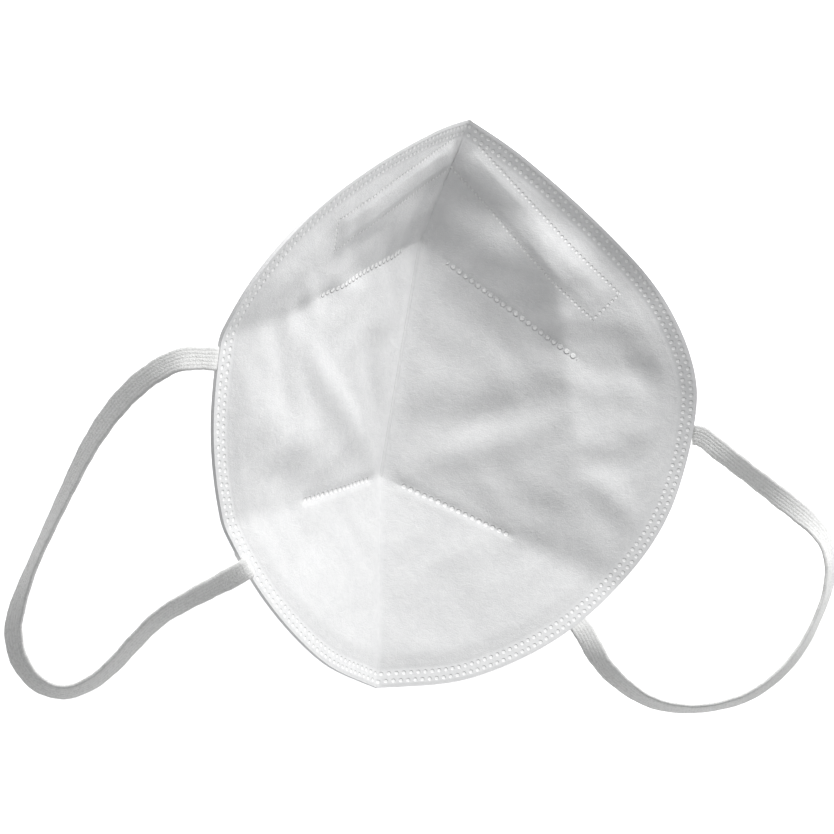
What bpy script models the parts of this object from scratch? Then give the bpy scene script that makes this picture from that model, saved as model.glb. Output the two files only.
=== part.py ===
"""Vertical flat-fold dust mask, opened and lying on its right cheek.

Each half of the mask is one flat pattern, folded in three panels: nose, cheek and
chin. Local panel coordinates are u (back from the centre crease), v (up the crease)
and n (towards the wearer). The row frame has +Z up and the crease along +Y; the right
cheek lies flat on the XY plane. Lengths are in metres.
"""
import bpy
import math
from mathutils import Matrix, Vector

MM = 0.001

# Flat pattern of one half
CREASE = 64.0 * MM            # mid fold, from the lower kink up to the upper kink
NOSE_SEAM = 35.5 * MM         # upper kink to the bridge
CHIN_SEAM = 57.0 * MM         # lower kink to under the chin
UPPER_FOLD = math.radians(63)     # mid fold to upper fold line, at the upper kink
NOSE_CORNER = math.radians(102)   # upper fold line to nose seam
LOWER_FOLD = math.radians(106)    # mid fold to lower fold line, at the lower kink
CHIN_CORNER = math.radians(66)    # lower fold line to chin seam
HALF_OPENING = math.radians(60)   # each cheek to the mirror plane, as opened
EDGE_ROUTE = [(26, 90), (49, 75), (67.5, 58.5), (78.5, 41), (81, 24), (78, 2),
              (68.5, -17.5), (52.5, -36), (31, -50)]     # cut edge (u, v) in mm

# Layers, counted outward from the plane that holds the fold lines
CLEARANCE = 0.15 * MM
AIR = 0.3 * MM
INNER_SKIN = 0.4 * MM
FILTER = 0.9 * MM
OUTER_SKIN = 0.4 * MM
STACK = CLEARANCE + INNER_SKIN + AIR + FILTER + AIR + OUTER_SKIN

# Running room at the folds and at the seams, which are the pivots left open
FOLD_ROOM = 0.25 * MM
SEAM_ROOM = 0.15 * MM
NOSE_SEAM_ROOM = 0.95 * MM    # at the bridge
CHIN_SEAM_ROOM = 1.5 * MM     # under the chin

# Nose clip and the strip that covers it
CLIP_START = (7.0 * MM, 90.2 * MM)    # its centre line at the nose seam (u, v)
CLIP_SLOPE = math.radians(-37.5)
CLIP_INSET = 1.5 * MM         # its end to the seam, along its centre line
CLIP_LENGTH = 50.0 * MM
CLIP_WIDTH = 5.0 * MM
CLIP_THICKNESS = 0.8 * MM
COVER_INSET = 3.4 * MM
COVER_LENGTH = 57.0 * MM
COVER_WIDTH = 9.0 * MM
COVER_THICKNESS = 0.4 * MM

# Ear loops: flat knitted elastic, its ends fused flush into the outer skin
TAB_LENGTH = 14.0 * MM
TAB_HALF = 3.0 * MM
UPPER_ANCHOR_V = 18.0 * MM
LOWER_ANCHOR_V = -30.5 * MM
LOOP_CORE = 2.6 * MM          # round cord with the band's cross-section
LOOP_SPACING = 5.5 * MM       # between its points
LOOP_GAP = 0.5 * MM           # from the cut edge to the loop
LOOP_LIFT = 0.2 * MM          # its underside above the outer skin's
LOOP_LEAD = 4.0 * MM          # straight run out of the edge
LOOP_ROUTES = {               # mm from the lower kink's foot on the table
    "right": [(90.5, 18.4, 2.3), (98, 15.8, 3), (105.9, 12.2, 3.9), (113.2, 7.9, 5),
              (118.8, 3.4, 6), (121.7, -2.6, 7), (122.2, -10, 7), (120.7, -18, 7),
              (117.9, -26.3, 7), (113.2, -34.2, 7), (106.2, -41.2, 7), (98.1, -45.5, 6.4),
              (90, -47.6, 5.8), (81.7, -47.6, 5.2), (74.1, -44.9, 4.6), (66.5, -39.7, 4.8)],
    "left": [(-48.4, 16.4, 76.4), (-53.6, 13.2, 75.4), (-59, 8, 72.4), (-63.8, 1.2, 69),
             (-67.8, -7, 66), (-71.2, -16.8, 63), (-74.4, -26.8, 60.2), (-77.2, -36.2, 57.4),
             (-79.2, -45, 54.8), (-79.8, -52, 52.6), (-77.6, -58.8, 50.8), (-72.6, -63.8, 49.6),
             (-66.2, -65, 49.4), (-60.2, -62, 50), (-55.2, -56.6, 51.2), (-50.8, -50, 52.8),
             (-46, -43.6, 54.6), (-39.8, -38.2, 56.2)],
}

PART = bpy.data.collections.new("dust_mask")


def clear_scene():
    for obj in list(bpy.data.objects):
        bpy.data.objects.remove(obj, do_unlink=True)


def material(name, colour, roughness, metallic=0.0):
    mat = bpy.data.materials.new(name)
    mat.use_nodes = True
    shader = mat.node_tree.nodes["Principled BSDF"]
    shader.inputs["Base Color"].default_value = (*colour, 1.0)
    shader.inputs["Roughness"].default_value = roughness
    shader.inputs["Metallic"].default_value = metallic
    return mat


# ---- flat pattern -------------------------------------------------------------

def from_crease(angle_from_v):
    """Unit (u, v) direction, turned from +v towards the back."""
    return Vector((math.sin(angle_from_v), math.cos(angle_from_v)))


UPPER_KINK = Vector((0.0, CREASE))
LOWER_KINK = Vector((0.0, 0.0))
UPPER_DIR = from_crease(math.pi - UPPER_FOLD)
NOSE_DIR = from_crease(math.pi - UPPER_FOLD - NOSE_CORNER)
LOWER_DIR = from_crease(LOWER_FOLD)
CHIN_DIR = from_crease(LOWER_FOLD + CHIN_CORNER)
BRIDGE = UPPER_KINK + NOSE_SEAM * NOSE_DIR
CHIN = LOWER_KINK + CHIN_SEAM * CHIN_DIR


def catmull_rom(points, steps):
    """Points of a smooth curve through the given ones, with reflected end tangents."""
    ends = [2 * points[0] - points[1]] + points + [2 * points[-1] - points[-2]]
    curve = []
    for a, b, c, d in zip(ends, ends[1:], ends[2:], ends[3:]):
        for i in range(steps):
            t = i / steps
            curve.append(0.5 * (2 * b + (c - a) * t + (2 * a - 5 * b + 4 * c - d) * t ** 2
                                + (3 * b - 3 * c + d - a) * t ** 3))
    curve.append(points[-1].copy())
    return curve


def cut_edge():
    route = [BRIDGE] + [Vector(p) * MM for p in EDGE_ROUTE] + [CHIN]
    return catmull_rom(route, 6)


def anchor_on(edge, v):
    """Point and inward direction where the cut edge passes height v, on its back side."""
    for a, b in zip(edge, edge[1:]):
        if a.y >= v > b.y:
            along = (b - a).normalized()
            point = a + (b - a) * ((a.y - v) / (a.y - b.y))
            return point, Vector((along.y, -along.x))
    raise ValueError("the cut edge does not reach that height")


def notched(edge, v, half, depth):
    """The cut edge with a square notch, open at the edge, that takes a loop's end."""
    point, inward = anchor_on(edge, v)
    along = Vector((-inward.y, inward.x))
    out, entered = [], False
    for p in edge:
        if (p - point).length < 2 * half and abs((p - point).dot(along)) <= half:
            continue
        if not entered and (p - point).dot(along) > half and (p - point).length < 40 * MM:
            mouth_a, mouth_b = point - half * along, point + half * along
            out += [mouth_a, mouth_a + depth * inward, mouth_b + depth * inward, mouth_b]
            entered = True
        out.append(p)
    return out


def clip(polygon, origin, normal):
    """The part of a polygon on the side of a line that normal points to."""
    kept = []
    for a, b in zip(polygon, polygon[1:] + polygon[:1]):
        da, db = (a - origin).dot(normal), (b - origin).dot(normal)
        if da >= 0:
            kept.append(a)
        if (da > 0 > db) or (da < 0 < db):
            kept.append(a + (b - a) * (da / (da - db)))
    return kept


def left_of(direction):
    return Vector((-direction.y, direction.x))


def panel_outline(panel, edge):
    """Outline of one panel, with running room at its folds and seams."""
    half = [LOWER_KINK, UPPER_KINK] + edge
    if panel == "nose":
        up = left_of(UPPER_DIR)
        start, end = UPPER_KINK, BRIDGE
        back = -left_of(NOSE_DIR)
        seam = (end + NOSE_SEAM_ROOM * back) - (start + SEAM_ROOM * back)
        half = clip(half, UPPER_KINK + FOLD_ROOM * up, up)
        return clip(half, start + SEAM_ROOM * back, -left_of(seam.normalized()))
    if panel == "chin":
        down = -left_of(LOWER_DIR)
        back = left_of(CHIN_DIR)
        seam = (CHIN + CHIN_SEAM_ROOM * back) - (LOWER_KINK + SEAM_ROOM * back)
        half = clip(half, LOWER_KINK + FOLD_ROOM * down, down)
        return clip(half, LOWER_KINK + SEAM_ROOM * back, left_of(seam.normalized()))
    up, down = left_of(UPPER_DIR), -left_of(LOWER_DIR)
    half = clip(half, UPPER_KINK - FOLD_ROOM * up, -up)
    half = clip(half, LOWER_KINK - FOLD_ROOM * down, -down)
    return clip(half, Vector((SEAM_ROOM, 0)), Vector((1, 0)))


def strip_outline(start, slope, first, last, width, steps=1):
    """Rectangle along a line, from first to last along it; steps > 1 rounds its far end."""
    along = Vector((math.cos(slope), math.sin(slope)))
    across = left_of(along)
    near = [start + first * along + width / 2 * across, start + first * along - width / 2 * across]
    if steps == 1:
        far = [start + last * along - width / 2 * across, start + last * along + width / 2 * across]
        return near + far
    centre = start + (last - width / 2) * along
    arc = [centre + width / 2 * (math.sin(a) * along - math.cos(a) * across)
           for a in (math.pi * i / steps for i in range(steps + 1))]
    return near + arc


# ---- folded frames ------------------------------------------------------------

def fold_angle(axis, seam, mirror_normal):
    """Turn about axis that brings the seam direction into the mirror plane."""
    axis, seam = axis.to_3d(), seam.to_3d()
    cross = axis.cross(seam)
    along = axis.dot(seam) * axis
    a = (seam - along).dot(mirror_normal)
    b = cross.dot(mirror_normal)
    c = along.dot(mirror_normal)
    size, phase = math.hypot(a, b), math.atan2(b, a)
    turns = [phase + s * math.acos(-c / size) for s in (1, -1)]
    turns = [math.atan2(math.sin(t), math.cos(t)) for t in turns]
    return min(turns, key=abs)


MIRROR_NORMAL = Vector((-math.sin(HALF_OPENING), 0.0, math.cos(HALF_OPENING)))
NOSE_TURN = fold_angle(UPPER_DIR, NOSE_DIR, MIRROR_NORMAL)
CHIN_TURN = fold_angle(LOWER_DIR, CHIN_DIR, MIRROR_NORMAL)
PIVOT = {"cheek": LOWER_KINK, "nose": UPPER_KINK, "chin": LOWER_KINK}
SIDES = {"right": 1, "left": -1}


def right_frame(panel):
    """Frame of a right panel about the lower kink, in panel axes u, v, n."""
    if panel == "cheek":
        return Matrix.Identity(4)
    axis, turn = ((UPPER_DIR, NOSE_TURN) if panel == "nose" else (LOWER_DIR, CHIN_TURN))
    shift = Matrix.Translation(PIVOT[panel].to_3d())
    return shift @ Matrix.Rotation(turn, 4, axis.to_3d())


def panel_frame(panel, side):
    """Frame with its origin on the panel's fold line; a left panel has -u for u."""
    frame = right_frame(panel)
    if side == "left":
        mirror = Matrix.Scale(-1, 4, MIRROR_NORMAL)
        frame = mirror @ frame @ Matrix.Diagonal((-1, 1, 1, 1))
    return frame


def row_origin(edge):
    """Lower kink's place when the outer skins' box has its bottom centre at the origin."""
    corners = []
    for side, sign in SIDES.items():
        for panel in PIVOT:
            frame = panel_frame(panel, side)
            for p in panel_outline(panel, edge):
                local = p - PIVOT[panel]
                for depth in (CLEARANCE, STACK):
                    corners.append(frame @ Vector((sign * local.x, local.y, -depth)))
    lo = [min(c[i] for c in corners) for i in range(3)]
    hi = [max(c[i] for c in corners) for i in range(3)]
    return Vector((-(lo[0] + hi[0]) / 2, -(lo[1] + hi[1]) / 2, -lo[2]))


# ---- solids -------------------------------------------------------------------

def plate(name, outline, pivot, sign, near, thickness, parent, mat):
    """Flat sheet in a panel's plane: its near face lies `near` outward of the folds."""
    curve = bpy.data.curves.new(name, "CURVE")
    curve.dimensions = "2D"
    curve.fill_mode = "BOTH"
    curve.extrude = thickness / 2
    spline = curve.splines.new("POLY")
    spline.points.add(len(outline) - 1)
    for target, p in zip(spline.points, outline):
        target.co = (sign * (p.x - pivot.x), p.y - pivot.y, 0.0, 1.0)
    spline.use_cyclic_u = True
    curve.materials.append(mat)
    obj = bpy.data.objects.new(name, curve)
    obj.parent = parent
    obj.location = (0.0, 0.0, -(near + thickness / 2))
    PART.objects.link(obj)
    return obj


def joint_empty(name, frame):
    empty = bpy.data.objects.new(name, None)
    empty.empty_display_size = 0.01
    empty.matrix_world = frame
    PART.objects.link(empty)
    return empty


def loop_end(panel, side, edge, v, origin):
    """Where a loop leaves the outer skin at the cut edge, and its direction outward."""
    point, inward = anchor_on(edge, v)
    sign = SIDES[side]
    local = point - PIVOT[panel]
    frame = Matrix.Translation(origin) @ panel_frame(panel, side)
    depth = STACK - LOOP_CORE / 2 - LOOP_LIFT
    foot = frame @ Vector((sign * local.x, local.y, -depth))
    out = frame.to_3x3() @ Vector((-sign * inward.x, -inward.y, 0.0))
    return foot, out


def cord(name, route, parent, mat):
    """Tube along a smooth curve through a route of points in the row frame."""
    fine = catmull_rom(route, 12)
    lengths = [0.0]
    for a, b in zip(fine, fine[1:]):
        lengths.append(lengths[-1] + (b - a).length)
    count = round(lengths[-1] / LOOP_SPACING)
    points, k = [], 0
    for i in range(count + 1):
        want = lengths[-1] * i / count
        while k < len(fine) - 2 and lengths[k + 1] < want:
            k += 1
        points.append(fine[k].lerp(fine[k + 1], (want - lengths[k]) / (lengths[k + 1] - lengths[k])))
    curve = bpy.data.curves.new(name, "CURVE")
    curve.dimensions = "3D"
    curve.bevel_depth = LOOP_CORE / 2
    curve.bevel_resolution = 2
    curve.use_fill_caps = True
    spline = curve.splines.new("POLY")
    spline.points.add(len(points) - 1)
    to_parent = parent.matrix_world.inverted()
    for target, p in zip(spline.points, points):
        target.co = (*(to_parent @ p), 1.0)
    curve.materials.append(mat)
    obj = bpy.data.objects.new(name, curve)
    obj.parent = parent
    PART.objects.link(obj)
    return obj


def ear_loop(side, edge, origin, mat):
    """One loop: straight out of its upper end, round its route, and into its lower end."""
    foot_up, out_up = loop_end("cheek", side, edge, UPPER_ANCHOR_V, origin)
    foot_low, out_low = loop_end("chin", side, edge, LOWER_ANCHOR_V, origin)
    foot = Vector((origin.x, origin.y, 0.0))
    between = [foot + Vector(p) * MM for p in LOOP_ROUTES[side]]
    route = [foot_up + LOOP_GAP * out_up, foot_up + LOOP_LEAD * out_up] + between
    route += [foot_low + LOOP_LEAD * out_low, foot_low + LOOP_GAP * out_low]
    axis = (foot_low - foot_up) if side == "right" else (foot_up - foot_low)
    turn = axis.to_track_quat("Z", "Y").to_matrix().to_4x4()
    pivot = joint_empty(f"ear_loop_{side}_swing", Matrix.Translation(foot_up) @ turn)
    return cord(f"ear_loop_{side}", route, pivot, mat)


def tab(panel, side, edge, v, parent, mat):
    """A loop's end, fused flush into a notch of the outer skin."""
    point, inward = anchor_on(edge, v)
    along = left_of(inward)
    corners = [(0.0, -TAB_HALF), (TAB_LENGTH, -TAB_HALF), (TAB_LENGTH, TAB_HALF), (0.0, TAB_HALF)]
    outline = [point + a * inward + b * along for a, b in corners]
    place = "upper" if panel == "cheek" else "lower"
    plate(f"ear_loop_{side}_{place}_end", outline, PIVOT[panel], SIDES[side],
          STACK - OUTER_SKIN, OUTER_SKIN, parent, mat)


def build():
    clear_scene()
    bpy.context.scene.collection.children.link(PART)
    outer = material("spunbond_outer", (0.93, 0.93, 0.93), 0.85)
    filt = material("meltblown_filter", (0.90, 0.91, 0.92), 0.9)
    inner = material("spunbond_inner", (0.95, 0.95, 0.95), 0.8)
    metal = material("nose_clip_metal", (0.80, 0.81, 0.83), 0.35, 1.0)
    strip = material("clip_cover_fabric", (0.92, 0.92, 0.93), 0.85)
    elastic = material("knitted_elastic", (0.88, 0.88, 0.87), 0.9)

    edge = cut_edge()
    notch_half, notch_depth = TAB_HALF + AIR, TAB_LENGTH + AIR
    notched_edge = notched(edge, UPPER_ANCHOR_V, notch_half, notch_depth)
    notched_edge = notched(notched_edge, LOWER_ANCHOR_V, notch_half, notch_depth)
    origin = row_origin(edge)

    for side, sign in SIDES.items():
        for panel, pivot in PIVOT.items():
            frame = Matrix.Translation(origin) @ panel_frame(panel, side)
            hinge = joint_empty(f"{panel}_{side}_fold", frame)
            plain = panel_outline(panel, edge)
            skin = panel_outline(panel, notched_edge)
            near = CLEARANCE
            plate(f"{panel}_{side}_inner_skin", plain, pivot, sign, near, INNER_SKIN, hinge, inner)
            near += INNER_SKIN + AIR
            plate(f"{panel}_{side}_filter", plain, pivot, sign, near, FILTER, hinge, filt)
            near += FILTER + AIR
            plate(f"{panel}_{side}_outer_skin", skin, pivot, sign, near, OUTER_SKIN, hinge, outer)
            if panel == "cheek":
                tab("cheek", side, edge, UPPER_ANCHOR_V, hinge, elastic)
            if panel == "chin":
                tab("chin", side, edge, LOWER_ANCHOR_V, hinge, elastic)
            if panel == "nose":
                start = Vector(CLIP_START)
                clip_strip = strip_outline(start, CLIP_SLOPE, CLIP_INSET, CLIP_LENGTH, CLIP_WIDTH, 8)
                cover = strip_outline(start, CLIP_SLOPE, COVER_INSET, COVER_LENGTH, COVER_WIDTH)
                plate(f"nose_clip_{side}", clip_strip, pivot, sign, STACK + AIR, CLIP_THICKNESS,
                      hinge, metal)
                plate(f"nose_clip_cover_{side}", cover, pivot, sign,
                      STACK + 2 * AIR + CLIP_THICKNESS, COVER_THICKNESS, hinge, strip)
        ear_loop(side, edge, origin, elastic)
    bpy.context.view_layer.update()


build()
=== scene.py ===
"""Looks of the flat-fold dust mask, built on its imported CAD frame.

Each half of the mask is one flat pattern with coordinates u (back from the centre
crease) and v (up the crease, from the lower kink). The fabric, clip cover and loop ends
are laid out in that pattern and then folded into the row frame. Lengths are in
millimetres until MM turns them into metres; the camera, the light and the materials'
bumps are in metres.
"""
import bpy
import math
import numpy as np
from mathutils import Matrix, Vector


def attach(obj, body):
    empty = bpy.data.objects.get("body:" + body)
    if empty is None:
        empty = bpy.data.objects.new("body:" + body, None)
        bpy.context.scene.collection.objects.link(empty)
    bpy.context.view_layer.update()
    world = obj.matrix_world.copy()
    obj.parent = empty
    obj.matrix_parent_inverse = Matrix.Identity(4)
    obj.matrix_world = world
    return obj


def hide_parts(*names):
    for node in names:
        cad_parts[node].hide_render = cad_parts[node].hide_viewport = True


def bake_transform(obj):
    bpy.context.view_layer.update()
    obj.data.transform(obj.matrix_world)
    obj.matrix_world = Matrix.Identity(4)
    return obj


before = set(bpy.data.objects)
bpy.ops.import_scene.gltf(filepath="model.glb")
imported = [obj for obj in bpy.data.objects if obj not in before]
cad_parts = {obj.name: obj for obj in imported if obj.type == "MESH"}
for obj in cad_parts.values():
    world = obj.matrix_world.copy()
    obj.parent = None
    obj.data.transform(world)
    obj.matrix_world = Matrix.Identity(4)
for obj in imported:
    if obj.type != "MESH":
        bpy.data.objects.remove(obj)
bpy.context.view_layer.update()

MM = 0.001
SIDES = ("right", "left")

# Flat pattern of one half, as in the CAD
CREASE = 64.0
NOSE_SEAM = 35.5
CHIN_SEAM = 57.0
UPPER_FOLD = math.radians(63)
NOSE_CORNER = math.radians(102)
LOWER_FOLD = math.radians(106)
CHIN_CORNER = math.radians(66)
HALF_OPENING = math.radians(60)
NOSE_TURN = math.radians(23.236)
CHIN_TURN = math.radians(16.466)
EDGE_ROUTE = [(26, 90), (49, 75), (67.5, 58.5), (78.5, 41), (81, 24), (78, 2),
              (68.5, -17.5), (52.5, -36), (31, -50)]
STACK = 2.45                       # from the fold lines' plane to the outer skin's face
KINK = np.array([-19.4006, -20.7541, STACK])    # lower kink, mm in the row frame
MIRROR = np.array([-math.sin(HALF_OPENING), 0.0, math.cos(HALF_OPENING)])
INWARD = np.array([math.cos(HALF_OPENING), 0.0, math.sin(HALF_OPENING)])

CLIP_ORIGIN = np.array([7.0, 90.2])             # clip's centre line at the nose seam
CLIP_SLOPE = math.radians(-37.5)

# Fabric
THICKNESS = 2.0                    # of the soft layers, away from the seal
SEAL_FACE = 0.5                    # depth of the pressed seal's inner face
SEAL_BACK = 1.65                   # and of its outer face
SEAL_WIDTH = 5.2
# Half width of the bend at the upper and the lower fold line
FOLD_BEND = {"right": (11.0, 3.0), "left": (2.0, 2.0)}
CREASE_BEND = 0.7
COLUMN_STEP = 0.85                 # between mesh columns, along the cut edge
ROWS = 84                          # of mesh points in a column, crowded at the cut edge
SEAM_REACH = 5.0                   # how far in the crease and seams pull the halves together

# Dots pressed into the fabric
SEAL_DOT_ROWS = ((1.5, 0.0), (3.45, 0.5))      # distance in from the edge, share of a pitch
SEAL_DOT_PITCH, SEAL_DOT_RADIUS = 1.9, 0.5
CLIP_DOT_PITCH, CLIP_DOT_RADIUS = 1.4, 0.36
CLIP_POCKET_HALF = 4.6             # from the clip's centre line to its weld outline
CLIP_POCKET_END = 57.4             # from the nose seam to the outline's far end

# Elastic band
BAND_WIDTH = 5.6
BAND_THICKNESS = 1.1
RIB_PITCH = 0.86
COURSE_PITCH = 0.75
PAD_LENGTH = 14.0                  # of the welded end

# Clip cover
COVER_START, COVER_END, COVER_HALF = 3.4, 57.0, 4.5
CLIP_TOP = 4.1                     # depth that the cover needs to lie clear of the clip


def direction(angle_from_v):
    return np.array([math.sin(angle_from_v), math.cos(angle_from_v)])


UPPER_KINK = np.array([0.0, CREASE])
LOWER_KINK = np.array([0.0, 0.0])
UPPER_DIR = direction(math.pi - UPPER_FOLD)
NOSE_DIR = direction(math.pi - UPPER_FOLD - NOSE_CORNER)
LOWER_DIR = direction(LOWER_FOLD)
CHIN_DIR = direction(LOWER_FOLD + CHIN_CORNER)
UPPER_ACROSS = np.array([-UPPER_DIR[1], UPPER_DIR[0]])
LOWER_ACROSS = np.array([LOWER_DIR[1], -LOWER_DIR[0]])
BRIDGE = UPPER_KINK + NOSE_SEAM * NOSE_DIR
CHIN = LOWER_KINK + CHIN_SEAM * CHIN_DIR


def catmull_rom(points, steps):
    points = [np.asarray(p, float) for p in points]
    ends = [2 * points[0] - points[1]] + points + [2 * points[-1] - points[-2]]
    curve = []
    for a, b, c, d in zip(ends, ends[1:], ends[2:], ends[3:]):
        for i in range(steps):
            t = i / steps
            curve.append(0.5 * (2 * b + (c - a) * t + (2 * a - 5 * b + 4 * c - d) * t ** 2
                                + (3 * b - 3 * c + d - a) * t ** 3))
    curve.append(points[-1])
    return np.array(curve)


def lengths_along(points):
    steps = np.linalg.norm(np.diff(points, axis=0), axis=1)
    return np.concatenate([[0.0], np.cumsum(steps)])


def resample(points, count):
    s = lengths_along(points)
    want = np.linspace(0.0, s[-1], count)
    return np.stack([np.interp(want, s, points[:, k]) for k in range(points.shape[1])], 1)


def smooth(x, low, high):
    t = np.clip((x - low) / (high - low), 0.0, 1.0)
    return t * t * (3 - 2 * t)


EDGE = catmull_rom([BRIDGE] + EDGE_ROUTE + [CHIN], 16)
EDGE_S = lengths_along(EDGE)


def edge_coordinates(uv):
    """Length along the cut edge, and distance in from it, of points in the pattern."""
    a, b = EDGE[:-1], EDGE[1:]
    ab = b - a
    near_s = np.empty(len(uv))
    near_d = np.empty(len(uv))
    for start in range(0, len(uv), 4000):
        p = uv[start:start + 4000]
        t = ((p[:, None] - a) * ab).sum(2) / (ab ** 2).sum(1)
        t = np.clip(t, 0.0, 1.0)
        d = np.linalg.norm(p[:, None] - (a + t[..., None] * ab), axis=2)
        k = d.argmin(1)
        rows = np.arange(len(p))
        near_d[start:start + 4000] = d[rows, k]
        near_s[start:start + 4000] = EDGE_S[k] + t[rows, k] * (EDGE_S[k + 1] - EDGE_S[k])
    return near_s, near_d


# ---- relief of the soft panels ------------------------------------------------

RIDGE = np.array([(-40, 46), (-4, 49), (17, 50), (33.5, 45), (51, 42), (62, 38),
                  (82, 27), (94.5, 19)])            # (v, u) of the right half's long ridge

# Soft folds: centre u, v, direction in degrees from +u, half length, half width, height
FOLDS = {
    "right": [(20, 9.5, 25, 15, 3.4, 0.8), (24, 30, 20, 15, 4.6, 0.7), (24, 20, 22, 14, 3.4, -0.7),
              (51, 52, 10, 8, 3.2, 0.45), (51, 45, 12, 9, 2.8, -0.25), (55, 33, -10, 9, 3.6, 0.7),
              (58, 38.5, 4, 9, 2.8, -0.5), (65, 23.5, -15, 6, 3.2, 0.6), (60, 5, -28, 9, 2.8, 0.7),
              (46, -2, -15, 6, 3.2, -0.5), (59, 12.5, 12, 7, 2.6, -0.5), (45, -13, -20, 5, 3.0, -0.5),
              (58, -9, -35, 10, 3.0, 0.6), (66, 36, 80, 8, 2.4, -0.4), (36, -26, -30, 14, 4.5, 0.5),
              (22, -38, -20, 12, 4.0, -0.4)],
    "left": [(31, 16.5, 27, 21, 3.5, 1.05), (16, 28, 60, 12, 4.0, -0.5), (60, 30, 70, 8, 3.0, 0.5),
             (47, 49, -40, 5, 2.6, -0.35), (42, 46, 20, 5, 2.4, 0.3), (34, 45, -10, 6, 2.4, 0.5),
             (53, 38.5, 35, 6, 2.4, 0.6), (57, 19, 60, 9, 2.6, -0.6), (62, 10, 80, 9, 2.6, 0.5),
             (45, 3, 10, 13, 4.0, 0.6), (50, -7, 0, 10, 2.8, -0.5), (37, -24, -40, 9, 3.0, -0.45),
             (38, 56, -30, 8, 2.0, -0.5), (14, 44, 82, 14, 3.4, 0.5), (5.5, 42, 82, 12, 2.4, -0.35),
             (28, -36, -60, 9, 3.2, 0.4)],
}


def soft_above(x, radius):
    """x where it is positive, 0 where negative, with a rounded corner."""
    return 0.5 * (x + np.sqrt(x * x + radius * radius))


def relief(side, uv, edge_d):
    """How far the soft fabric stands towards the wearer, in mm.

    The right half has one long ridge and the left a low swell. Both bow up towards the
    fold lines, carry their own folds, and are held down at the seal and the crease.
    """
    u, v = uv[:, 0], uv[:, 1]
    height = np.zeros(len(uv))
    if side == "right":
        ridge_u = np.interp(v, RIDGE[:, 0], RIDGE[:, 1])
        beyond = soft_above(u - ridge_u, 1.6)
        rising = (u - beyond) / ridge_u
        falling = np.exp(-beyond / 15.0) * edge_d / (edge_d + 0.4 * beyond)
        height += 5.4 * rising * falling * smooth(v, -42, 26) * (1 - 0.62 * smooth(v, 45, 80))
        bow, low, high = 2.6 * (1 - 0.75 * smooth(u, 38, 54)), 22.0, 42.0
    else:
        height += 1.8 * smooth(u, 4, 34) * smooth(v, -20, 10) * (1 - smooth(v, 38, 60))
        bow, low, high = 0.6, 26.0, 40.0
    inside = 1 - smooth(v, 62, 78)
    lift = np.where(v > low, ((v - low) / high) ** 2, np.minimum(((v - low) / high) ** 2, 0.24))
    height += bow * lift * smooth(u, 2, 22) * inside
    for cu, cv, degrees, half_length, half_width, rise in FOLDS[side]:
        along = np.array([math.cos(math.radians(degrees)), math.sin(math.radians(degrees))])
        a = (u - cu) * along[0] + (v - cv) * along[1]
        b = -(u - cu) * along[1] + (v - cv) * along[0]
        height += rise * np.exp(-0.5 * (a / half_length) ** 2 - 0.5 * (b / half_width) ** 2)
    height += 0.2 * (np.sin(u * 0.31 + 1.3 * np.sin(v * 0.17))
                     * np.sin(v * 0.27 + 0.9 * np.sin(u * 0.21)))
    held = smooth(edge_d, 1.0, 13.0) * smooth(u, 0.0, 7.0)
    held = held * (1 - 0.55 * (1 - smooth(v, -22, 18)) * (1 - smooth(edge_d, 10, 34)))
    height = height * held + 0.3 * clip_swell(uv)
    if side == "right":            # the nose panel lies flatter at its outer end
        above = soft_above((uv - UPPER_KINK) @ UPPER_ACROSS, 6.0)
        height -= 0.34 * above * math.sin(NOSE_TURN) * smooth(u, 36, 62) * (1 - smooth(v, 58, 84))
    return height


def clip_swell(uv):
    """1 over the clip's pocket, falling to 0 on its welded outline."""
    along = np.array([math.cos(CLIP_SLOPE), math.sin(CLIP_SLOPE)])
    a = (uv - CLIP_ORIGIN) @ along
    b = (uv - CLIP_ORIGIN) @ np.array([-along[1], along[0]])
    return ((1 - smooth(np.abs(b), 2.0, CLIP_POCKET_HALF)) * smooth(a, 1.0, 6.0)
            * (1 - smooth(a, 52.0, CLIP_POCKET_END)))


def distance_to_seam(uv):
    """Distance in the pattern from the crease and the nose and chin seams."""
    near = np.full(len(uv), 1e9)
    for a, b in ((BRIDGE, UPPER_KINK), (UPPER_KINK, LOWER_KINK), (LOWER_KINK, CHIN)):
        t = np.clip((uv - a) @ (b - a) / ((b - a) @ (b - a)), 0.0, 1.0)
        near = np.minimum(near, np.linalg.norm(uv - (a + t[:, None] * (b - a)), axis=1))
    return near


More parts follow.
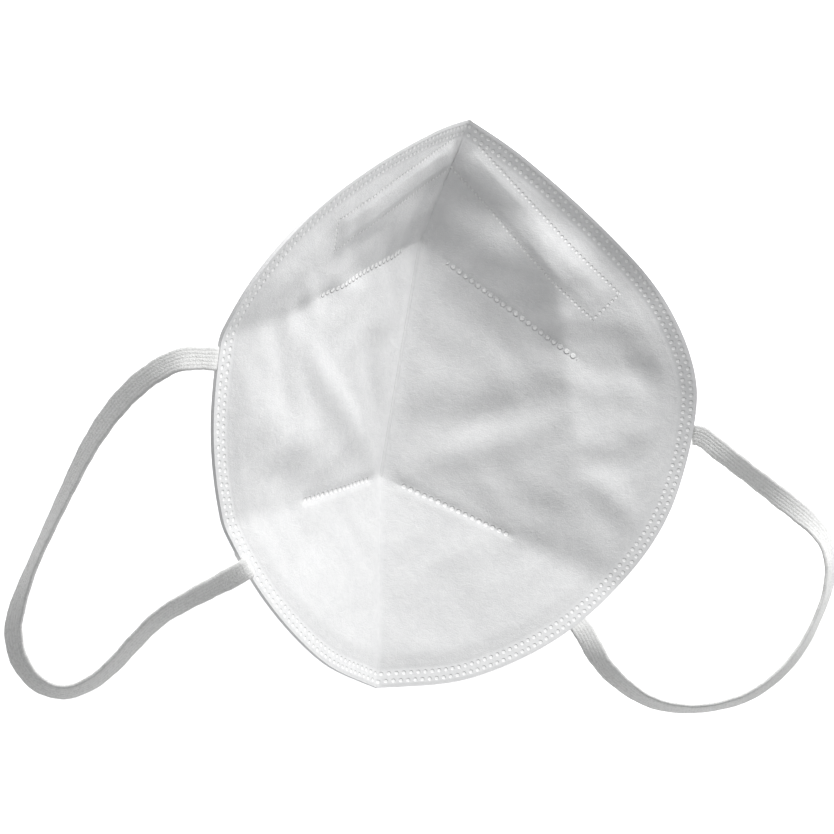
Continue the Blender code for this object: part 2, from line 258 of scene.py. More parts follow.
def fold(side, uv, depth):
    """Pattern points, at a depth outward of the inner face, in the row frame in mm."""
    u, v = uv[:, 0], uv[:, 1]
    place = np.stack([u, v, np.zeros(len(u))], 1)
    up = np.array([0.0, 0.0, 1.0])
    normal = np.tile(up, (len(u), 1))
    upper_bend, lower_bend = FOLD_BEND[side]
    for origin, axis, across, turn, widest in (
            (UPPER_KINK, UPPER_DIR, UPPER_ACROSS, NOSE_TURN, upper_bend),
            (LOWER_KINK, LOWER_DIR, LOWER_ACROSS, CHIN_TURN, lower_bend)):
        away = np.array([*across, 0.0])
        along = np.array([*axis, 0.0])
        rel = uv - origin
        d = rel @ across
        s = rel @ axis
        bend = np.clip(widest * np.abs(s) / 14.0, 0.3, widest)
        t = np.clip((d + bend) / (2 * bend), 0.0, 1.0)
        turned = away * math.cos(turn) + up * math.sin(turn)
        near = (-bend * (1 - t) ** 2)[:, None] * away + (bend * t ** 2)[:, None] * turned
        near = near + np.minimum(d + bend, 0.0)[:, None] * away
        near = near + np.maximum(d - bend, 0.0)[:, None] * turned
        base = np.array([*origin, 0.0]) + s[:, None] * along + near
        angle = turn * t
        tilted = np.cos(angle)[:, None] * up - np.sin(angle)[:, None] * away
        moved = d > -bend
        place[moved] = base[moved]
        normal[moved] = tilted[moved]
    gap = np.maximum(-(place @ MIRROR), 0.0)
    close = np.clip(CREASE_BEND - gap, 0.0, CREASE_BEND)
    shift = close ** 2 / (2 * CREASE_BEND) / math.tan(HALF_OPENING)
    place = place - normal * depth[:, None]
    seam = 1 - smooth(distance_to_seam(uv), 0.0, SEAM_REACH)
    place = place + ((-(place @ MIRROR) - gap) * seam)[:, None] * MIRROR
    place = place + shift[:, None] * INWARD
    if side == "left":
        place = place - 2 * (place @ MIRROR)[:, None] * MIRROR
    return place + KINK


def faces_of_fabric(side, uv):
    """Depth of the inner and the outer face of the fabric at pattern points."""
    edge_s, edge_d = edge_coordinates(uv)
    soft = smooth(edge_d, SEAL_WIDTH - 1.2, SEAL_WIDTH + 4.0)
    height = relief(side, uv, edge_d)
    weld = np.zeros(len(uv))
    for origin, axis, across, first, last, deep in (
            (UPPER_KINK, UPPER_DIR, UPPER_ACROSS, 8.5, 53.5, 0.35),
            (LOWER_KINK, LOWER_DIR, LOWER_ACROSS, 5.5, 38.0, 1.0)):
        rel = uv - origin
        s = rel @ axis
        d = rel @ across
        run = smooth(s, first - 1.5, first) * (1 - smooth(s, last, last + 1.5))
        weld = np.maximum(weld, deep * run * np.exp(-0.5 * (d / 0.75) ** 2))
    rim = 1 - smooth(edge_d, 0.0, 0.9)
    inner = SEAL_FACE * (1 - soft) + 0.42 * weld - height + 0.12 * rim
    outer = SEAL_BACK * (1 - soft) + THICKNESS * soft - height - 0.3 * weld - 0.12 * rim
    return inner, outer, edge_s, edge_d


# ---- meshes -------------------------------------------------------------------

def pattern_columns():
    """Columns of pattern points from the crease and seams out to the cut edge."""
    def crossing(origin, across):
        side_of = (EDGE - origin) @ across
        k = np.nonzero(side_of[:-1] * side_of[1:] < 0)[0][0]
        t = side_of[k] / (side_of[k] - side_of[k + 1])
        return k, EDGE[k] + t * (EDGE[k + 1] - EDGE[k])
    upper_k, upper_end = crossing(UPPER_KINK, UPPER_ACROSS)
    lower_k, lower_end = crossing(LOWER_KINK, LOWER_ACROSS)
    outer = [np.vstack([EDGE[:upper_k + 1], upper_end]),
             np.vstack([upper_end, EDGE[upper_k + 1:lower_k + 1], lower_end]),
             np.vstack([lower_end, EDGE[lower_k + 1:]])]
    inner = [np.array([BRIDGE, UPPER_KINK]), np.array([UPPER_KINK, LOWER_KINK]),
             np.array([LOWER_KINK, CHIN])]
    inside, outside = [], []
    for a, b in zip(inner, outer):
        count = int(lengths_along(b)[-1] / COLUMN_STEP)
        start = 0 if not inside else 1
        inside.append(resample(a, count)[start:])
        outside.append(resample(b, count)[start:])
    return np.vstack(inside), np.vstack(outside), len(inside[0]), len(inside[0]) + len(inside[1])


def add_mesh(name, points_mm, faces, materials, indices=None):
    mesh = bpy.data.meshes.new(name)
    mesh.from_pydata([tuple(p) for p in np.asarray(points_mm) * MM], [], faces)
    for mat in materials:
        mesh.materials.append(mat)
    if indices is not None:
        mesh.polygons.foreach_set("material_index", indices)
    mesh.polygons.foreach_set("use_smooth", [True] * len(mesh.polygons))
    mesh.update()
    obj = bpy.data.objects.new(name, mesh)
    bpy.context.scene.collection.objects.link(obj)
    return obj


def vector_attribute(mesh, name, values):
    layer = mesh.attributes.new(name, "FLOAT_VECTOR", "POINT")
    layer.data.foreach_set("vector", np.asarray(values, np.float32).ravel())


def border_of(number):
    """The grid's border, once round, from its first corner."""
    return (list(number[:, 0]) + list(number[-1, 1:]) + list(number[-2::-1, -1])
            + list(number[0, -2:0:-1]))


def fabric(name, side, inside, outside, materials):
    """Closed soft shell over a run of pattern columns."""
    rows = 1 - (1 - np.linspace(0.0, 1.0, ROWS)) ** 1.25
    uv = inside[:, None] * (1 - rows[None, :, None]) + outside[:, None] * rows[None, :, None]
    columns = len(inside)
    flat = uv.reshape(-1, 2)
    inner, outer, edge_s, edge_d = faces_of_fabric(side, flat)
    front = fold(side, flat, inner)
    back = fold(side, flat, outer)
    number = np.arange(columns * ROWS).reshape(columns, ROWS)
    for c in (0, columns - 1):
        if np.linalg.norm(outside[c] - inside[c]) < 1e-6:
            number[c, :] = number[c, 0]
    offset = columns * ROWS
    faces, slots = [], []

    def face(corners, slot):
        kept = [k for i, k in enumerate(corners) if k not in corners[:i]]
        if len(kept) >= 3:
            faces.append(kept if side == "right" else kept[::-1])
            slots.append(slot)

    for c in range(columns - 1):
        for r in range(ROWS - 1):
            a, b, d, e = number[c, r], number[c + 1, r], number[c + 1, r + 1], number[c, r + 1]
            face([int(a), int(b), int(d), int(e)], 0)
            face([int(e) + offset, int(d) + offset, int(b) + offset, int(a) + offset], 1)
    rim_start = len(faces)
    loop = border_of(number)
    loop = [int(k) for i, k in enumerate(loop) if i == 0 or k != loop[i - 1]]
    for a, b in zip(loop, loop[1:] + loop[:1]):
        if a != b:
            face([b, a, a + offset, b + offset], 1)
    points = np.vstack([front, back])
    used = sorted({k for f in faces for k in f})
    renumber = {k: i for i, k in enumerate(used)}
    faces = [[renumber[k] for k in f] for f in faces]
    obj = add_mesh(name, points[used], faces, materials, slots)
    mesh = obj.data
    none = np.zeros(len(used))
    vector_attribute(mesh, "pattern", np.column_stack([np.vstack([flat, flat])[used], none]))
    vector_attribute(mesh, "rim", np.column_stack([np.tile(edge_s, 2)[used],
                                                   np.tile(edge_d, 2)[used], none]))
    rim_edges = {(min(a, b), max(a, b)) for f in faces[rim_start:] for a, b in zip(f, f[1:] + f[:1])}
    sharp = mesh.attributes.new("sharp_edge", "BOOLEAN", "EDGE")
    sharp.data.foreach_set("value", [(min(e.vertices), max(e.vertices)) in rim_edges
                                     for e in mesh.edges])
    return obj


def strip_surface(side, origin, slope, first, last, half, profile, steps, least=None):
    """Closed soft strip on the outer face; profile(a, b) is its height there,
    least(a, b) the smallest depth its top may lie at."""
    along = np.array([math.cos(slope), math.sin(slope)])
    across = np.array([-along[1], along[0]])
    a = np.linspace(first, last, max(3, int((last - first) * steps)))
    b = np.linspace(-half, half, max(3, int(2 * half * steps * 1.5)))
    grid = np.array([[origin + p * along + q * across for q in b] for p in a])
    flat = grid.reshape(-1, 2)
    _, outer, _, _ = faces_of_fabric(side, flat)
    aa, bb = (x.ravel() for x in np.meshgrid(a, b, indexing="ij"))
    depth = outer + profile(aa, bb)
    if least is not None:
        depth = np.maximum(depth, least(aa, bb))
    top = fold(side, flat, depth)
    under = fold(side, flat, outer - 0.25)
    na, nb = len(a), len(b)
    number = np.arange(na * nb).reshape(na, nb)
    offset = na * nb
    faces = []
    for i in range(na - 1):
        for j in range(nb - 1):
            q = [number[i, j], number[i + 1, j], number[i + 1, j + 1], number[i, j + 1]]
            faces.append([int(k) for k in q[::-1]])
            faces.append([int(k) + offset for k in q])
    loop = border_of(number)
    for p, q in zip(loop, loop[1:] + loop[:1]):
        faces.append([int(p), int(q), int(q) + offset, int(p) + offset])
    if side == "left":
        faces = [f[::-1] for f in faces]
    coordinates = np.column_stack([np.tile(aa, 2), np.tile(bb, 2), np.zeros(2 * offset)])
    return np.vstack([top, under]), faces, coordinates


# ---- materials ----------------------------------------------------------------

class Graph:
    """Short names for the shader nodes used below."""

    def __init__(self, name, colour, roughness):
        self.material = bpy.data.materials.new(name)
        self.material.use_nodes = True
        self.tree = self.material.node_tree
        self.shader = self.tree.nodes["Principled BSDF"]
        self.shader.inputs["Base Color"].default_value = (*colour, 1.0)
        self.shader.inputs["Roughness"].default_value = roughness

    def link(self, value, socket):
        if isinstance(value, bpy.types.NodeSocket):
            self.tree.links.new(value, socket)
        else:
            socket.default_value = value

    def math(self, operation, *values):
        node = self.tree.nodes.new("ShaderNodeMath")
        node.operation = operation
        for value, socket in zip(values, node.inputs):
            self.link(value, socket)
        return node.outputs[0]

    def attribute(self, name):
        node = self.tree.nodes.new("ShaderNodeAttribute")
        node.attribute_name = name
        split = self.tree.nodes.new("ShaderNodeSeparateXYZ")
        self.tree.links.new(node.outputs["Vector"], split.inputs[0])
        return split.outputs[0], split.outputs[1]

    def place(self):
        return self.tree.nodes.new("ShaderNodeTexCoord").outputs["Object"]

    def noise(self, vector, scale, detail, roughness, distortion=0.0):
        node = self.tree.nodes.new("ShaderNodeTexNoise")
        self.tree.links.new(vector, node.inputs["Vector"])
        node.inputs["Scale"].default_value = scale
        node.inputs["Detail"].default_value = detail
        node.inputs["Roughness"].default_value = roughness
        node.inputs["Distortion"].default_value = distortion
        return node.outputs["Fac"]

    def cells(self, vector, scale):
        node = self.tree.nodes.new("ShaderNodeTexVoronoi")
        self.tree.links.new(vector, node.inputs["Vector"])
        node.inputs["Scale"].default_value = scale
        return node.outputs["Distance"]

    def stretch(self, vector, scale):
        node = self.tree.nodes.new("ShaderNodeMapping")
        self.tree.links.new(vector, node.inputs["Vector"])
        node.inputs["Scale"].default_value = scale
        return node.outputs[0]

    def ramp(self, value, low, high, to_low=0.0, to_high=1.0):
        node = self.tree.nodes.new("ShaderNodeMapRange")
        node.interpolation_type = "SMOOTHSTEP"
        for key, item in (("Value", value), ("From Min", low), ("From Max", high),
                          ("To Min", to_low), ("To Max", to_high)):
            self.link(item, node.inputs[key])
        return node.outputs[0]

    def span(self, value, low, high):
        """1 between low and high."""
        above = self.math("GREATER_THAN", value, low)
        return self.math("MULTIPLY", above, self.math("LESS_THAN", value, high))

    def dots(self, along, across, pitch, radius):
        """A row of round dots on the line across = 0."""
        turn = self.math("DIVIDE", along, pitch)
        part = self.math("MULTIPLY", self.math("SUBTRACT", self.math("FRACT", turn), 0.5), pitch)
        r = self.math("SQRT", self.math("ADD", self.math("MULTIPLY", part, part),
                                        self.math("MULTIPLY", across, across)))
        return self.ramp(r, radius * 0.65, radius * 1.15, 1.0, 0.0)

    def mix_colour(self, factor, first, second):
        node = self.tree.nodes.new("ShaderNodeMix")
        node.data_type = "RGBA"
        self.link(factor, node.inputs[0])
        for value, socket in ((first, node.inputs[6]), (second, node.inputs[7])):
            if isinstance(value, bpy.types.NodeSocket):
                self.tree.links.new(value, socket)
            else:
                socket.default_value = (*value, 1.0)
        return node.outputs[2]

    def colour(self, value):
        self.tree.links.new(value, self.shader.inputs["Base Color"])

    def bump(self, height, distance, strength):
        node = self.tree.nodes.new("ShaderNodeBump")
        node.inputs["Distance"].default_value = distance
        node.inputs["Strength"].default_value = strength
        self.link(height, node.inputs["Height"])
        self.tree.links.new(node.outputs[0], self.shader.inputs["Normal"])


def line_coordinates(graph, u, v, origin, axis, across):
    """Distance along and across a line in the pattern, as sockets."""
    du = graph.math("SUBTRACT", u, float(origin[0]))
    dv = graph.math("SUBTRACT", v, float(origin[1]))
    s = graph.math("ADD", graph.math("MULTIPLY", du, float(axis[0])),
                   graph.math("MULTIPLY", dv, float(axis[1])))
    d = graph.math("ADD", graph.math("MULTIPLY", du, float(across[0])),
                   graph.math("MULTIPLY", dv, float(across[1])))
    return s, d


def skin_material(name, colour, lint, inner):
    """Nonwoven: cloudy fibre, with the seal's dots, fold welds and clip pocket; the dots and the weld
    beads carry painted light, coloured lighter than the fabric.
    """
    graph = Graph(name, colour, 0.86)
    graph.shader.inputs["Sheen Weight"].default_value = 0.12
    graph.shader.inputs["Sheen Roughness"].default_value = 0.6
    graph.shader.inputs["Specular IOR Level"].default_value = 0.25
    u, v = graph.attribute("pattern")
    edge_s, edge_d = graph.attribute("rim")
    where = graph.place()
    cloud = graph.noise(where, 420.0, 4.0, 0.65, 0.3)
    fine = graph.noise(where, 2300.0, 3.0, 0.6)
    hair = graph.noise(graph.stretch(where, (1.0, 3.2, 1.0)), 900.0, 4.0, 0.7, 1.2)
    dots = None                    # pressed in; the upper weld's beads stand up instead

    def add(mask):
        nonlocal dots
        dots = mask if dots is None else graph.math("MAXIMUM", dots, mask)

    for offset, shift in SEAL_DOT_ROWS:
        across = graph.math("SUBTRACT", edge_d, offset)
        seal_dots = graph.dots(graph.math("ADD", edge_s, shift * SEAL_DOT_PITCH), across,
                               SEAL_DOT_PITCH, SEAL_DOT_RADIUS)
        add(graph.math("MULTIPLY", seal_dots, 0.6))
    for origin, axis, across, first, last, pitch, radius in (
            (UPPER_KINK, UPPER_DIR, UPPER_ACROSS, 9.5, 53.0, 2.1, 0.78),
            (LOWER_KINK, LOWER_DIR, LOWER_ACROSS, 6.4, 37.5, 2.0, 0.66)):
        s, d = line_coordinates(graph, u, v, origin, axis, across)
        row = graph.math("MULTIPLY", graph.dots(s, d, pitch, radius), graph.span(s, first, last))
        if origin is UPPER_KINK:
            beads = row
        else:
            add(row)
    along = np.array([math.cos(CLIP_SLOPE), math.sin(CLIP_SLOPE)])
    side = np.array([-along[1], along[0]])
    s, d = line_coordinates(graph, u, v, CLIP_ORIGIN, along, side)
    for line, start in ((CLIP_POCKET_HALF, 3.0), (-CLIP_POCKET_HALF, 1.0)):
        row = graph.dots(s, graph.math("SUBTRACT", d, line), CLIP_DOT_PITCH, CLIP_DOT_RADIUS)
        add(graph.math("MULTIPLY", row, graph.span(s, start, CLIP_POCKET_END)))
    row = graph.dots(d, graph.math("SUBTRACT", s, CLIP_POCKET_END), CLIP_DOT_PITCH, CLIP_DOT_RADIUS)
    add(graph.math("MULTIPLY", row, graph.span(d, -CLIP_POCKET_HALF - 0.2, CLIP_POCKET_HALF + 0.2)))
    seal = graph.ramp(edge_d, SEAL_WIDTH - 0.8, SEAL_WIDTH + 0.4, 1.0, 0.0)
    height = graph.math("ADD", graph.math("MULTIPLY", cloud, 0.55),
                        graph.math("MULTIPLY", fine, 0.18))
    height = graph.math("ADD", height, graph.math("MULTIPLY", hair, 0.3))
    if not inner:
        bonds = graph.cells(where, 1250.0)
        height = graph.math("ADD", height, graph.math("MULTIPLY", graph.ramp(bonds, 0.1, 0.45), 0.5))
    calm = graph.math("SUBTRACT", 1.0, graph.math("MULTIPLY", seal, 0.55))
    height = graph.math("MULTIPLY", height, calm)
    height = graph.math("SUBTRACT", height, graph.math("MULTIPLY", dots, 1.1))
    height = graph.math("ADD", height, graph.math("MULTIPLY", beads, 1.3))
    pinch = graph.ramp(graph.math("ABSOLUTE", u), 0.15, 0.7, 1.0, 0.0)
    pinch = graph.math("MULTIPLY", pinch, graph.span(v, LOWER_KINK[1], UPPER_KINK[1] + 4.0))
    height = graph.math("ADD", height, graph.math("MULTIPLY", pinch, 1.2))
    graph.bump(height, 0.00028, 0.85)
    base = graph.mix_colour(graph.ramp(cloud, 0.3, 0.72), lint, colour)
    # Painted light: the pressed dots, and on the next line the upper weld's beads, are lightened
    # towards white, standing in for light showing through and catching the thin fused welds.
    base = graph.mix_colour(graph.math("MULTIPLY", dots, 1.4), base, (0.985, 0.985, 0.98))
    graph.colour(graph.mix_colour(beads, base, (0.97, 0.97, 0.965)))
    return graph.material


def strip_material():
    """Clip cover: smooth spunbond strip, bond points, a welded dotted border."""
    graph = Graph("clip_cover", (0.80, 0.80, 0.805), 0.8)
    graph.shader.inputs["Sheen Weight"].default_value = 0.1
    a, b = graph.attribute("strip")
    where = graph.place()
    bonds = graph.cells(where, 1100.0)
    cloud = graph.noise(where, 700.0, 4.0, 0.6)
    edge = graph.math("SUBTRACT", graph.math("ABSOLUTE", b), 3.9)
    dots = graph.dots(a, edge, CLIP_DOT_PITCH, CLIP_DOT_RADIUS)
    height = graph.math("ADD", graph.math("MULTIPLY", graph.ramp(bonds, 0.1, 0.45), 0.5),
                        graph.math("MULTIPLY", cloud, 0.4))
    height = graph.math("SUBTRACT", height, graph.math("MULTIPLY", dots, 1.3))
    graph.bump(height, 0.00025, 0.8)
    graph.colour(graph.mix_colour(graph.ramp(cloud, 0.3, 0.7), (0.76, 0.76, 0.77),
                                  (0.83, 0.83, 0.83)))
    return graph.material


def elastic_material():
    """Knitted flat elastic: lengthwise ribs crossed by fine stitches, with painted shade in the
    grooves between them.
    """
    graph = Graph("loop_elastic", (0.76, 0.76, 0.755), 0.9)
    graph.shader.inputs["Sheen Weight"].default_value = 0.25
    graph.shader.inputs["Sheen Roughness"].default_value = 0.5
    along, across = graph.attribute("band")
    where = graph.place()
    rib = graph.math("ABSOLUTE", graph.math("SINE", graph.math("MULTIPLY", across,
                                                               math.pi / RIB_PITCH)))
    lean = graph.math("MULTIPLY", graph.math("ABSOLUTE", graph.math(
        "SUBTRACT", graph.math("FRACT", graph.math("DIVIDE", across, RIB_PITCH)), 0.5)), 0.9)
    course = graph.math("SINE", graph.math("MULTIPLY", graph.math("ADD", along, lean),
                                           2 * math.pi / COURSE_PITCH))
    course = graph.math("MULTIPLY_ADD", course, 0.5, 0.5)
    fuzz = graph.noise(where, 2600.0, 3.0, 0.7)
    patch = graph.noise(where, 300.0, 3.0, 0.6)
    stitch = graph.math("MULTIPLY", rib, graph.math("MULTIPLY_ADD", course, 0.45, 0.55))
    height = graph.math("ADD", graph.math("MULTIPLY", stitch, 0.34),
                        graph.math("MULTIPLY", fuzz, 1.1))
    graph.bump(height, 0.00022, 0.8)
    # Painted shade: the grooves between ribs and stitches are coloured darker, following the same
    # stitch height that drives the bump.
    base = graph.mix_colour(graph.ramp(stitch, 0.05, 0.75), (0.82, 0.82, 0.81), (0.9, 0.9, 0.89))
    speckle = graph.noise(where, 1500.0, 2.0, 0.6, 0.4)
    speckle = graph.math("MULTIPLY", graph.ramp(speckle, 0.5, 0.62), 0.45)
    base = graph.mix_colour(speckle, base, (0.63, 0.63, 0.62))
    graph.colour(graph.mix_colour(graph.math("MULTIPLY", patch, 0.25), base, (0.76, 0.76, 0.745)))
    return graph.material


def metal_material():
    """Nose clip: bare strip, drawn lengthwise."""
    graph = Graph("nose_clip_metal", (0.74, 0.75, 0.77), 0.34)
    graph.shader.inputs["Metallic"].default_value = 1.0
    where = graph.place()
    drawn = graph.noise(graph.stretch(where, (1.0, 1.0, 6.0)), 900.0, 3.0, 0.6)
    graph.bump(drawn, 0.00008, 0.5)
    graph.colour(graph.mix_colour(drawn, (0.62, 0.63, 0.65), (0.82, 0.83, 0.85)))
    return graph.material


def filter_material():
    """Meltblown layer: matt, fine and cloudy."""
    graph = Graph("meltblown_filter", (0.85, 0.86, 0.87), 0.92)
    where = graph.place()
    cloud = graph.noise(where, 900.0, 5.0, 0.7)
    graph.bump(cloud, 0.0002, 0.7)
    graph.colour(graph.mix_colour(cloud, (0.78, 0.79, 0.80), (0.88, 0.89, 0.90)))
    return graph.material


inner_skin = skin_material("inner_spunbond", (0.80, 0.80, 0.80), (0.755, 0.757, 0.76), True)
outer_skin = skin_material("outer_spunbond", (0.81, 0.81, 0.81), (0.77, 0.77, 0.775), False)
cover_fabric = strip_material()
elastic = elastic_material()
metal = metal_material()
meltblown = filter_material()

for node_name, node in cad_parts.items():
    if node_name.endswith("_filter"):
        finish = meltblown
    elif node_name.startswith("nose_clip_cover"):
        finish = cover_fabric
    elif node_name.startswith("nose_clip"):
        finish = metal
    elif node_name.startswith("ear_loop"):
        finish = elastic
    elif node_name.endswith("outer_skin"):
        finish = outer_skin
    else:
        finish = inner_skin
    node.data.materials.clear()
    node.data.materials.append(finish)


# ---- camera -------------------------------------------------------------------

SENSOR_WIDTH = 36.0
FOCAL_SHARE = 1811.0 / 834.0       # focal length as a share of the sensor's width


def add_camera():
    """Almost straight down on the mask, turned a little about its line of sight."""
    data = bpy.data.cameras.new("camera")
    data.sensor_width = SENSOR_WIDTH
    data.lens = SENSOR_WIDTH * FOCAL_SHARE
    camera = bpy.data.objects.new("camera", data)
    bpy.context.scene.collection.objects.link(camera)
    right = Vector((0.9861, 0.1641, 0.0244)).normalized()
    forward = Vector((0.0138, 0.0659, -0.9977)).normalized()
    up = right.cross(forward).normalized()
    right = forward.cross(up)
    turn = Matrix((right, up, -forward)).transposed().to_4x4()
    camera.matrix_world = Matrix.Translation((-0.0190, -0.0357, 0.4871)) @ turn
    data.clip_start = 0.01
    bpy.context.scene.camera = camera


add_camera()


# ---- ear loops ----------------------------------------------------------------

# Where each band leaves the edge, upper then lower, in mm in the row frame
LOOP_FEET = {"right": ((62.6, 3.9, 1.5), (38.87, -50.99, 5.3)),
             "left": ((-60.58, -2.75, 71.88), (-46.6, -48.5, 55.2))}
# Points in mm from the lower kink's foot on the table. They are the CAD's, but for the
# right loop's first two, which suit the place where its band leaves the edge.
LOOP_ROUTES = {
    "right": [(89.6, 21.3, 2.5), (97.4, 16.9, 3.2), (105.9, 12.2, 3.9), (113.2, 7.9, 5),
              (118.8, 3.4, 6), (121.7, -2.6, 7), (122.2, -10, 7), (120.7, -18, 7),
              (117.9, -26.3, 7), (113.2, -34.2, 7), (106.2, -41.2, 7), (98.1, -45.5, 6.4),
              (90, -47.6, 5.8), (81.7, -47.6, 5.2), (74.1, -44.9, 4.6), (66.5, -39.7, 4.8)],
    "left": [(-48.4, 16.4, 76.4), (-53.6, 13.2, 75.4), (-59, 8, 72.4), (-63.8, 1.2, 69),
             (-67.8, -7, 66), (-71.2, -16.8, 63), (-74.4, -26.8, 60.2), (-77.2, -36.2, 57.4),
             (-79.2, -45, 54.8), (-79.8, -52, 52.6), (-77.6, -58.8, 50.8), (-72.6, -63.8, 49.6),
             (-66.2, -65, 49.4), (-60.2, -62, 50), (-55.2, -56.6, 51.2), (-50.8, -50, 52.8),
             (-46, -43.6, 54.6), (-39.8, -38.2, 56.2)],
}
# Tilt of the band's width out of the level, in degrees, at shares of the loop's length
LOOP_TILT = {
    "right": [(0, 4), (0.05, -10), (0.1, -30), (0.16, -28), (0.24, 8), (0.32, 42), (0.42, 62),
              (0.52, 58), (0.62, 60), (0.72, 68), (0.82, 56), (0.9, 34), (1, 14)],
    "left": [(0, 12), (0.14, 18), (0.26, 40), (0.34, 52), (0.44, 60), (0.5, 40), (0.56, 28),
             (0.61, 34), (0.67, 58), (0.75, 58), (0.84, 52), (0.92, 38), (1, 30)],
}
BAND_TUCK = 0.9                    # how far inside the cut edge the free band starts
BAND_BEHIND = {"right": 0.5, "left": 0.8}      # and how far outward of its foot
# Height v in the pattern at which each welded end crosses the cut edge, from the
# photo; the CAD's are the same on both sides
ANCHORS = {"right": {"upper": 25.0, "lower": -30.5}, "left": {"upper": 18.0, "lower": -27.5}}


def anchor(v):
    """Point and inward direction where the cut edge passes height v, on its back side."""
    for a, b in zip(EDGE, EDGE[1:]):
        if a[1] >= v > b[1] and a[0] > 40:
            step = (b - a) / np.linalg.norm(b - a)
            point = a + (b - a) * ((a[1] - v) / (a[1] - b[1]))
            return point, np.array([step[1], -step[0]])
    raise ValueError("the cut edge does not reach that height")


def panel_directions(side, panel):
    """Out-of-edge, along-edge and outward-facing directions at a loop's end."""
    point, inward = anchor(ANCHORS[side]["upper" if panel == "cheek" else "lower"])
    along = np.array([-inward[1], inward[0]])
    probe = np.array([point + 8 * inward, point + 9 * inward, point + 8 * inward + along])
    p = fold(side, probe, np.full(3, THICKNESS))
    out = p[0] - p[1]
    edge = p[2] - p[0]
    out /= np.linalg.norm(out)
    edge /= np.linalg.norm(edge)
    back = fold(side, probe[:1], np.full(1, THICKNESS + 1.0))[0] - p[0]
    return out, edge, back


def loop_path(side):
    """The band's centre line in mm, and the edge's direction at its two ends."""
    foot = np.array([KINK[0], KINK[1], 0.0])
    up_foot, low_foot = (np.array(p) for p in LOOP_FEET[side])
    up_out, up_edge, up_back = panel_directions(side, "cheek")
    low_out, low_edge, low_back = panel_directions(side, "chin")
    behind = BAND_BEHIND[side]
    between = [foot + np.array(p) for p in LOOP_ROUTES[side]]
    route = [up_foot - BAND_TUCK * up_out + behind * up_back,
             up_foot + 1.8 * up_out + 0.5 * behind * up_back] + between
    route += [low_foot + 2.2 * low_out + 0.6 * behind * low_back,
              low_foot - BAND_TUCK * low_out + behind * low_back]
    path = resample(catmull_rom(route, 12), 140)
    return path, up_edge, low_edge


def band_outline():
    """The band's section: flat, with rounded edges; width first, then thickness."""
    outline = []
    corner = BAND_THICKNESS / 2
    half = BAND_WIDTH / 2 - corner
    for centre, start in ((half, -90), (-half, 90)):
        for step in range(7):
            angle = math.radians(start + 30 * step)
            outline.append((centre + corner * math.cos(angle), corner * math.sin(angle)))
        for k in range(3):
            x = centre * (1 - 2 * (k + 1) / 4)
            outline.append((x, corner if centre > 0 else -corner))
    return np.array(outline)


def ear_loop(side):
    """Flat band that leaves under the edge, twists round its route and returns."""
    path, up_edge, low_edge = loop_path(side)
    count = len(path)
    tangents = np.gradient(path, axis=0)
    tangents /= np.linalg.norm(tangents, axis=1)[:, None]
    shares = np.linspace(0, 1, count)
    table = np.array(LOOP_TILT[side], float)
    tilt = np.radians(np.interp(shares, table[:, 0], table[:, 1]))
    kernel = np.hanning(17)
    kernel /= kernel.sum()
    tilt = np.convolve(np.pad(tilt, 8, mode="edge"), kernel, mode="valid")
    up = np.array([0.0, 0.0, 1.0])
    sign = 1.0 if side == "right" else -1.0
    outline = band_outline()
    points, data = [], []
    travelled = lengths_along(path)
    previous = None
    for i in range(count):
        t = tangents[i]
        outward = sign * np.cross(up, t)
        outward /= np.linalg.norm(outward)
        lift = np.cross(outward, t)
        lift = lift if lift[2] > 0 else -lift
        width = np.cross(math.cos(tilt[i]) * lift + math.sin(tilt[i]) * outward, t)
        for share, edge in ((1 - smooth(shares[i], 0.0, 0.09), up_edge),
                            (smooth(shares[i], 0.91, 1.0), low_edge)):
            target = edge - (edge @ t) * t
            target /= np.linalg.norm(target)
            if target @ width < 0:
                target = -target
            width = (1 - share) * width + share * target
            width /= np.linalg.norm(width)
        if previous is not None and width @ previous < 0:
            width = -width
        previous = width
        face = np.cross(t, width)
        swell = 1.0 + 0.03 * math.sin(travelled[i] * 0.9) + 0.02 * math.sin(travelled[i] * 2.3)
        for x, y in outline:
            points.append(path[i] + swell * x * width + y * face)
            data.append((travelled[i], x, 0.0))
    n = len(outline)
    faces = []
    for i in range(count - 1):
        for j in range(n):
            k = (j + 1) % n
            faces.append([i * n + j, i * n + k, (i + 1) * n + k, (i + 1) * n + j])
    faces.append(list(range(n))[::-1])
    faces.append([(count - 1) * n + j for j in range(n)])
    obj = add_mesh(f"ear_loop_{side}_band", np.array(points), faces, [elastic])
    obj.data.polygons[-1].use_smooth = False
    obj.data.polygons[-2].use_smooth = False
    vector_attribute(obj.data, "band", data)
    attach(obj, f"ear_loop_{side}")
    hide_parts(f"ear_loop_{side}")


for loop_side in SIDES:
    ear_loop(loop_side)


def loop_end(side, place):
    """The band's welded end, a ribbed pad pressed on the outer face."""
    panel = "cheek" if place == "upper" else "chin"
    point, inward = anchor(ANCHORS[side][place])
    slope = math.atan2(inward[1], inward[0])
    half = BAND_WIDTH / 2

    def rise(a, b):
        pressed = 1 - 0.45 * smooth(a, 2.5, 4.5)
        rounded = 1 - smooth(np.abs(b), half - 0.5, half)
        return (STACK - THICKNESS) * (0.35 + 0.65 * pressed * rounded)

    points, faces, data = strip_surface(side, point, slope, 0.2, PAD_LENGTH, half, rise, steps=2.6)
    obj = add_mesh(f"ear_loop_{side}_{place}_pad", points, faces, [elastic])
    vector_attribute(obj.data, "band", data)
    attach(obj, f"{panel}_{side}")
    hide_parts(f"ear_loop_{side}_{place}_end")


# ---- fabric -------------------------------------------------------------------

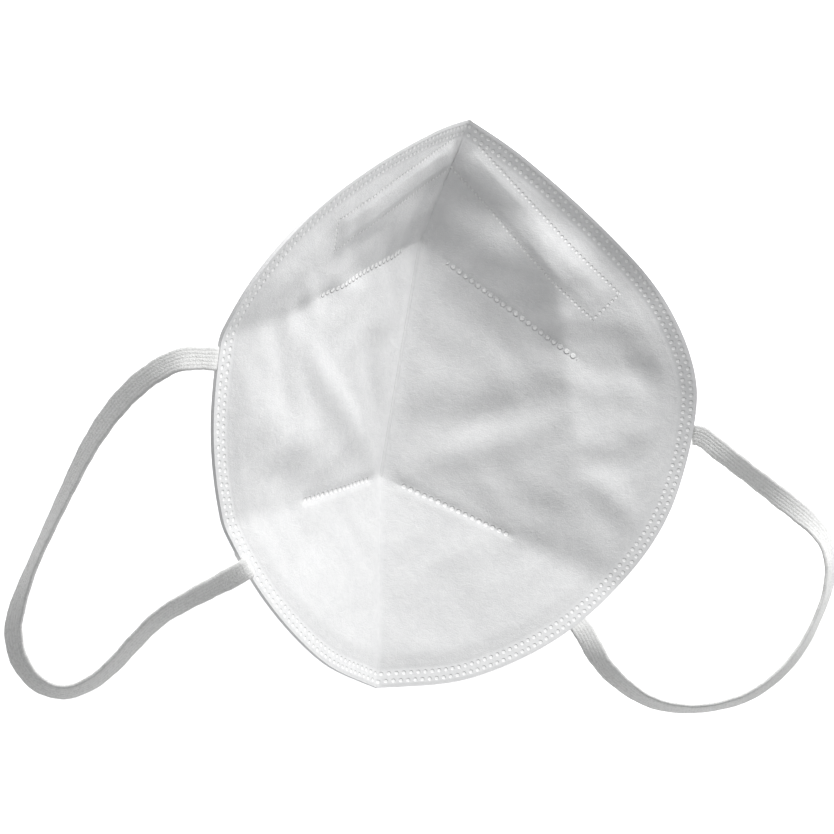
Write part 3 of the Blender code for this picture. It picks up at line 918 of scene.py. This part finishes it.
def build_fabric():
    """Each side's fabric in two pieces, split across the cheek."""
    inside, outside, upper_column, lower_column = pattern_columns()
    split = (upper_column + lower_column) // 2
    for side in SIDES:
        for part, panel, columns in (("upper", "nose", slice(0, split + 1)),
                                     ("lower", "chin", slice(split, None))):
            obj = fabric(f"fabric_{side}_{part}", side, inside[columns], outside[columns],
                         [inner_skin, outer_skin])
            origin, axis, across = ((UPPER_KINK, UPPER_DIR, UPPER_ACROSS) if panel == "nose"
                                    else (LOWER_KINK, LOWER_DIR, LOWER_ACROSS))
            middle = origin + 30 * axis
            ends = fold(side, np.array([middle - 2.2 * across, middle + 2.2 * across]),
                        np.array([THICKNESS / 2, THICKNESS / 2]))
            panels = (panel, "cheek") if part == "upper" else (panel,)
            nodes = [f"{name}_{side}_{layer}" for name in panels
                     for layer in ("inner_skin", "filter", "outer_skin")]
            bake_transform(obj)
            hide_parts(*nodes)


def build_cover(side):
    """Strip over the nose clip, welded down along its border."""
    def rise(a, b):
        border = 1 - smooth(np.abs(b), 4.1, 4.5)
        return 0.2 + 0.15 * border + 1.5 * over(a, b)

    def over(a, b):
        return (1 - smooth(np.abs(b), 2.7, 4.0)) * (1 - smooth(a, 51.8, 53.6))

    def least(a, b):
        return CLIP_TOP * over(a, b)

    points, faces, data = strip_surface(side, CLIP_ORIGIN, CLIP_SLOPE, COVER_START, COVER_END,
                                        COVER_HALF, rise, steps=1.6, least=least)
    obj = add_mesh(f"clip_cover_{side}", points, faces, [cover_fabric])
    vector_attribute(obj.data, "strip", data)
    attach(obj, f"nose_{side}")
    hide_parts(f"nose_clip_cover_{side}")


build_fabric()
for mask_side in SIDES:
    build_cover(mask_side)
    loop_end(mask_side, "upper")
    loop_end(mask_side, "lower")


# ---- stage --------------------------------------------------------------------

def add_floor():
    mesh = bpy.data.meshes.new("floor")
    half = 4.0
    mesh.from_pydata([(-half, -half, 0), (half, -half, 0), (half, half, 0), (-half, half, 0)], [],
                     [(0, 1, 2, 3)])
    floor = bpy.data.objects.new("floor", mesh)
    bpy.context.scene.collection.objects.link(floor)
    floor.location.z = -0.0002
    mat = bpy.data.materials.new("floor")
    mat.use_nodes = True
    shader = mat.node_tree.nodes["Principled BSDF"]
    shader.inputs["Base Color"].default_value = (0.93, 0.93, 0.93, 1.0)
    shader.inputs["Roughness"].default_value = 0.9
    shader.inputs["Specular IOR Level"].default_value = 0.1
    shader.inputs["Emission Color"].default_value = (1.0, 1.0, 1.0, 1.0)
    shader.inputs["Emission Strength"].default_value = 0.75
    mesh.materials.append(mat)


def add_light(name, position, target, size, power):
    data = bpy.data.lights.new(name, "AREA")
    data.size = size
    data.energy = power
    light = bpy.data.objects.new(name, data)
    bpy.context.scene.collection.objects.link(light)
    aim = Vector(target) - Vector(position)
    light.matrix_world = (Matrix.Translation(position)
                          @ aim.to_track_quat("-Z", "Y").to_matrix().to_4x4())


def add_world(strength):
    world = bpy.data.worlds.new("studio")
    bpy.context.scene.world = world
    world.use_nodes = True
    background = world.node_tree.nodes["Background"]
    background.inputs["Color"].default_value = (0.98, 0.99, 1.0, 1.0)
    background.inputs["Strength"].default_value = strength


add_floor()
add_world(strength=0.35)
add_light("key", position=(0.34, 1.02, 0.48), target=(0.0, 0.0, 0.02), size=0.45, power=15.0)
bpy.context.scene.view_settings.view_transform = "Standard"
